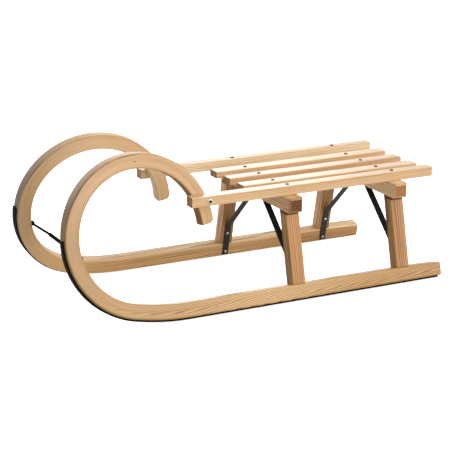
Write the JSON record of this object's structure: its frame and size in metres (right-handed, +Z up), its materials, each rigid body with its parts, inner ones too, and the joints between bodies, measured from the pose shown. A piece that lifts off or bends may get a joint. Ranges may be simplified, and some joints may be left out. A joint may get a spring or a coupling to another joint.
{
  "type": "horn sled",
  "caption": "Wooden horn sled: runners bent up into tall curled horns, splayed legs, crossbars, a slatted seat, steel shoes, strap braces and a tow rod between the horns.",
  "frame": {"origin": "on the ground under the middle of the sled", "axes": "+X forward towards the horns, +Y to the rider's left, +Z up"},
  "size_m": [1, 0.4444, 0.3928],
  "materials": {
    "bent_wood": "satin clear varnish",
    "frame_wood": "satin clear varnish",
    "slat_wood": "satin clear varnish",
    "black_steel": "satin black",
    "black_plastic": "matt black",
    "zinc_steel": "bright zinc"
  },
  "bodies": {
    "root": {"brace_front_left": "black_steel", "brace_front_right": "black_steel", "brace_rear_left": "black_steel", "brace_rear_right": "black_steel", "crossbar_front": "frame_wood", "crossbar_rear": "frame_wood", "horn_bolt_left": "zinc_steel", "horn_bolt_right": "zinc_steel", "leg_front_left": "frame_wood", "leg_front_right": "frame_wood", "leg_rear_left": "frame_wood", "leg_rear_right": "frame_wood", "runner_left": "bent_wood", "runner_right": "bent_wood", "runner_shoe_left": "black_steel", "runner_shoe_right": "black_steel", "seat_slat_centre": "slat_wood", "seat_slat_inner_left": "slat_wood", "seat_slat_inner_right": "slat_wood", "seat_slat_outer_left": "slat_wood", "seat_slat_outer_right": "slat_wood", "tow_rod": "black_steel", "tow_rod_screw_left": "black_steel", "tow_rod_screw_right": "black_steel", "tow_rod_sleeve": "black_plastic"}
  },
  "joints": []
}
